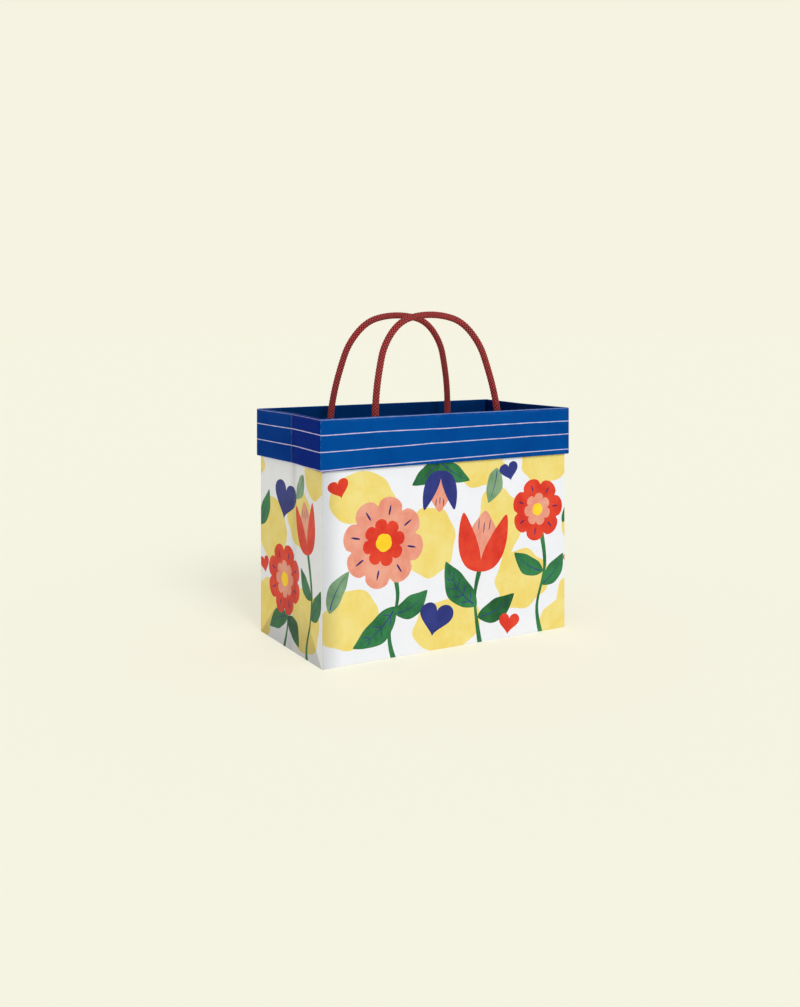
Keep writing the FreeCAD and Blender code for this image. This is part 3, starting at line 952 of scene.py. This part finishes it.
def sheet_place(u, v):
    """Where a place of the flat sheet lies on the front half of the bag, in millimetres."""
    if v >= FOLD_RADIUS:
        up, tucked = v, 0.0
    else:
        angle = (FOLD_RADIUS - v) / FOLD_RADIUS
        up = FOLD_RADIUS * (1 - math.sin(angle))
        tucked = FOLD_RADIUS * (1 - math.cos(angle))
    if u <= WALL_LENGTH - CORNER_ARC:
        run = u / (WALL_LENGTH - CORNER_ARC)
        x = -HALF_WIDTH + 0.25 + run * (WALL_LENGTH - CORNER_RADIUS - 0.25)
        return x, -HALF_DEPTH - wall_bow(u, v) + tucked, up
    if u < WALL_LENGTH + CORNER_ARC:
        angle = (u - WALL_LENGTH + CORNER_ARC) / CORNER_RADIUS
        reach = CORNER_RADIUS - tucked * 0.9
        x = HALF_WIDTH - CORNER_RADIUS + reach * math.sin(angle)
        return x, -HALF_DEPTH + CORNER_RADIUS - reach * math.cos(angle), up
    if u <= SHEET_LENGTH - CORNER_ARC:
        run = (u - WALL_LENGTH - CORNER_ARC) / (2 * HALF_DEPTH - 2 * CORNER_ARC)
        y = -HALF_DEPTH + CORNER_RADIUS + run * (2 * HALF_DEPTH - 2 * CORNER_RADIUS - PAPER)
        return HALF_WIDTH - gusset_inward(u, v) - tucked, y, up
    angle = (u - SHEET_LENGTH + CORNER_ARC) / CORNER_RADIUS
    reach = CORNER_RADIUS - tucked * 0.9
    x = HALF_WIDTH - CORNER_RADIUS + reach * math.cos(angle)
    return x, HALF_DEPTH - PAPER - CORNER_RADIUS + reach * math.sin(angle), up


def make_sheet_piece(name, places, triangles, paints, chosen, hand):
    """One panel of a sheet, on the bag's front half (hand 1) or turned round to its back (hand -1)."""
    used = np.unique(triangles[chosen])
    order = {old: new for new, old in enumerate(used)}
    solid = []
    for old in used:
        x, y, z = sheet_place(*places[old])
        solid.append((hand * x * MM, hand * y * MM, z * MM))
    faces = [[order[corner] for corner in triangles[index]] for index in chosen]
    piece = new_piece(name, solid, faces, PRINTED, INNER)
    set_uv(piece, "sheet", places[used] * MM)
    for layer_name, strength in (("thin_wash", 0), ("full_wash", 1)):
        layer = piece.data.attributes.new(layer_name, "FLOAT_COLOR", "CORNER")
        colours = [tone(*PAINTS[paints[index]][strength]) for index in chosen for _ in range(3)]
        layer.data.foreach_set("color", np.array(colours, np.float32).ravel())
    thicken(piece, PAPER, material_offset=1, material_offset_rim=1)
    return piece


def make_sheets():
    places, triangles, paints = flat_sheet(draw_print())
    middles = places[triangles].mean(axis=1)[:, 0]
    wall = np.flatnonzero(middles < WALL_LENGTH + CORNER_ARC)
    near = np.flatnonzero((middles >= WALL_LENGTH + CORNER_ARC) & (middles < CREASE))
    far = np.flatnonzero(middles >= CREASE)
    for first, second, hand, side in (("front", "back", 1, "right"), ("back", "front", -1, "left")):
        panel = make_sheet_piece(f"{first}_wall_print", places, triangles, paints, wall, hand)
        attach(panel, f"{first}_wall")
        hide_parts(f"{first}_panel")
        for half_name, chosen in ((first, near), (second, far)):
            half_piece = f"{side}_gusset_print_{half_name}"
            half = make_sheet_piece(half_piece, places, triangles, paints, chosen, hand)
            fold_gusset(half)
            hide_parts(f"{side}_gusset_{half_name}")


make_sheets()


# ---------------------------------------------------------------- the cuff


CUFF_EDGE = 0.8
CUFF_LAYER = 0.8 * CARD
CUFF_WAVE = 0.16
OUTER_SIDE = 0.5
EDGE_STEPS = 4
FACE_STEPS = 16
LINING_STEPS = 8
BAND_COLUMNS = 50
SIDE_COLUMNS = 22


def cuff_section():
    """The cuff's outer face from its foot inwards: out from the paper, height, place along the card."""
    edge = CUFF_EDGE
    points = [(0.15, CUFF_FOOT + 0.1), (CUFF_OUT - edge, CUFF_FOOT)]
    for step in range(1, EDGE_STEPS + 1):
        angle = math.pi / 2 * step / EDGE_STEPS
        up = CUFF_FOOT + edge * (1 - math.cos(angle))
        points.append((CUFF_OUT - edge + edge * math.sin(angle), up))
    for step in range(1, FACE_STEPS):
        share = step / FACE_STEPS
        points.append((CUFF_OUT, CUFF_FOOT + edge + share * (RIM - CUFF_FOOT - 2 * edge)))
    for step in range(EDGE_STEPS + 1):
        angle = math.pi / 2 * step / EDGE_STEPS
        points.append((CUFF_OUT - edge + edge * math.cos(angle), RIM - edge * (1 - math.sin(angle))))
    for step in range(EDGE_STEPS + 1):
        angle = math.pi / 2 * step / EDGE_STEPS
        points.append((LINING_OUT + edge * (1 - math.sin(angle)), RIM - edge * (1 - math.cos(angle))))
    lining_foot = RIM - LINING_DEPTH
    for step in range(1, LINING_STEPS + 1):
        down = (RIM - edge - lining_foot) * step / LINING_STEPS
        points.append((LINING_OUT, RIM - edge - down))
    lengths = np.concatenate([[0], np.cumsum(np.linalg.norm(np.diff(np.array(points), axis=0), axis=1))])
    foot_length = lengths[1] + edge * math.pi / 4
    return [(out, height, length - foot_length) for (out, height), length in zip(points, lengths)]


SECTION = cuff_section()


def cuff_rubbing(out, height):
    near_rim = max(0.0, 1 - abs(RIM - 0.3 - height) / 0.9)
    near_foot = max(0.0, 1 - abs(CUFF_FOOT + 0.2 - height) / 0.7)
    return max(near_rim, near_foot) if out > OUTER_SIDE else 0.0


def make_cuff_piece(name, stations, place):
    """A length of cuff: its section at each station along the mouth."""
    points, places, rubbing = [], [], []
    for station in stations:
        for out, height, length in SECTION:
            x, y, along, worn = place(station, out, height)
            points.append((x * MM, y * MM, height * MM))
            places.append((along * MM, length * MM))
            rubbing.append(max(worn, cuff_rubbing(out, height)))
    rows = len(SECTION)
    faces = []
    for column in range(len(stations) - 1):
        for row in range(rows - 1):
            start = column * rows + row
            faces.append((start, start + rows, start + rows + 1, start + 1))
    piece = new_piece(name, points, faces, CUFF_BLUE)
    set_uv(piece, "sheet", places)
    layer = piece.data.attributes.new("rubbed", "FLOAT", "POINT")
    layer.data.foreach_set("value", np.asarray(rubbing, np.float32))
    thicken(piece, CUFF_LAYER)
    return piece


def cuff_wave(along, height, out):
    """The card bows out and in a little along its length."""
    if out < CUFF_OUT - 1:
        return 0.0
    share = (height - CUFF_FOOT) / (RIM - CUFF_FOOT)
    return CUFF_WAVE * math.sin(along / 29 + 1.1) * math.sin(math.pi * share)


def front_cuff_place(hand):
    """Places on the front band (hand 1) or the back band (hand -1), corner to corner."""
    radius = CORNER_RADIUS

    def place(station, out, height):
        half = HALF_WIDTH + out
        depth = HALF_DEPTH + out
        around = station if hand > 0 else station + SHEET_LENGTH
        if station < 0:
            angle = math.pi / 2 * (1 + station)
            x = -half + radius - radius * math.cos(angle)
            y = -depth + radius - radius * math.sin(angle)
            worn = 1.0
        elif station > WALL_LENGTH:
            angle = math.pi / 2 * (station - WALL_LENGTH)
            x = half - radius + radius * math.sin(angle)
            y = -depth + radius - radius * math.cos(angle)
            worn = 1.0
        else:
            x = -half + radius + (2 * half - 2 * radius) * station / WALL_LENGTH
            y = -depth - cuff_wave(station, height, out)
            worn = 0.0
        return hand * x, hand * y, around, worn if out > OUTER_SIDE else 0.0

    return place


def side_cuff_place(hand, half_hand):
    """Places on half of a side: from its corner to the gusset's crease. Station runs from 0 to 1."""
    radius = CORNER_RADIUS

    def place(station, out, height):
        depth = HALF_DEPTH + out - radius
        y = half_hand * depth * (1 - station)
        x = hand * (HALF_WIDTH + out - GUSSET_TUCK * station)
        reach = station * HALF_DEPTH
        if half_hand < 0:
            along = WALL_LENGTH + reach if hand > 0 else 2 * SHEET_LENGTH - reach
        else:
            along = SHEET_LENGTH - reach if hand > 0 else SHEET_LENGTH + WALL_LENGTH + reach
        worn = max(0.0, 1 - (1 - station) * HALF_DEPTH) * 0.8
        return x, y, along, worn if out > OUTER_SIDE else 0.0

    return place


def make_cuff():
    arc = [-1, -0.75, -0.5, -0.25]
    straight = list(np.linspace(0, WALL_LENGTH, BAND_COLUMNS))
    far_arc = [WALL_LENGTH + share for share in (0.25, 0.5, 0.75, 1)]
    for wall, hand in (("front", 1), ("back", -1)):
        stations = arc + straight + far_arc
        band_piece = make_cuff_piece(f"{wall}_cuff_band", stations, front_cuff_place(hand))
        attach(band_piece, f"{wall}_wall")
        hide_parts(f"cuff_{wall}")
    for side, hand in (("left", -1), ("right", 1)):
        for wall, half_hand in (("front", -1), ("back", 1)):
            stations = list(np.linspace(0, 1, SIDE_COLUMNS))
            if hand * half_hand > 0:
                stations.reverse()
            half = make_cuff_piece(f"{side}_cuff_{wall}_half", stations, side_cuff_place(hand, half_hand))
            fold_gusset(half)
            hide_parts(f"cuff_{side}_{wall}")


make_cuff()


# ---------------------------------------------------------------- boards, flaps and barbs


def dress_cad_nodes():
    for name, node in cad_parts.items():
        if "barb" in name:
            material = BARB
        elif "board" in name:
            material = BOARD
        else:
            material = INNER
        node.data.materials.clear()
        node.data.materials.append(material)


dress_cad_nodes()


# ---------------------------------------------------------------- studio


def make_backdrop():
    """A cream room that darkens and cools overhead."""
    world = bpy.data.worlds.new("studio")
    bpy.context.scene.world = world
    world.use_nodes = True
    tree = world.node_tree
    direction = tree.nodes.new("ShaderNodeTexCoord")
    split = tree.nodes.new("ShaderNodeSeparateXYZ")
    climb = tree.nodes.new("ShaderNodeMapRange")
    climb.interpolation_type = "SMOOTHSTEP"
    climb.inputs["From Min"].default_value = CREAM_UP_TO
    climb.inputs["From Max"].default_value = OVERHEAD_FROM
    blend = tree.nodes.new("ShaderNodeMix")
    blend.data_type = "RGBA"
    blend.inputs[6].default_value = CREAM
    blend.inputs[7].default_value = OVERHEAD
    tree.links.new(direction.outputs["Generated"], split.inputs[0])
    tree.links.new(split.outputs[2], climb.inputs["Value"])
    tree.links.new(climb.outputs["Result"], blend.inputs[0])
    tree.links.new(blend.outputs[2], tree.nodes["Background"].inputs["Color"])
    tree.nodes["Background"].inputs["Strength"].default_value = 1.0


def make_studio():
    """A cream floor without an edge and one large cool light in front of the bag."""
    bpy.ops.mesh.primitive_plane_add(size=FLOOR_SIZE, location=(0, 0, 0))
    floor = bpy.context.object
    floor.name = "studio_floor"
    floor.data.materials.append(floor_paint())
    clear_selection()
    make_backdrop()
    data = bpy.data.lights.new("key_light", "SUN")
    data.energy = KEY_STRENGTH
    data.angle = math.radians(KEY_SOFTNESS)
    data.color = KEY_TINT
    key = bpy.data.objects.new("key_light", data)
    bpy.context.scene.collection.objects.link(key)
    key.rotation_euler = Vector(KEY_DIRECTION).to_track_quat("-Z", "Y").to_euler()
    bpy.context.scene.view_settings.view_transform = "Standard"


make_studio()
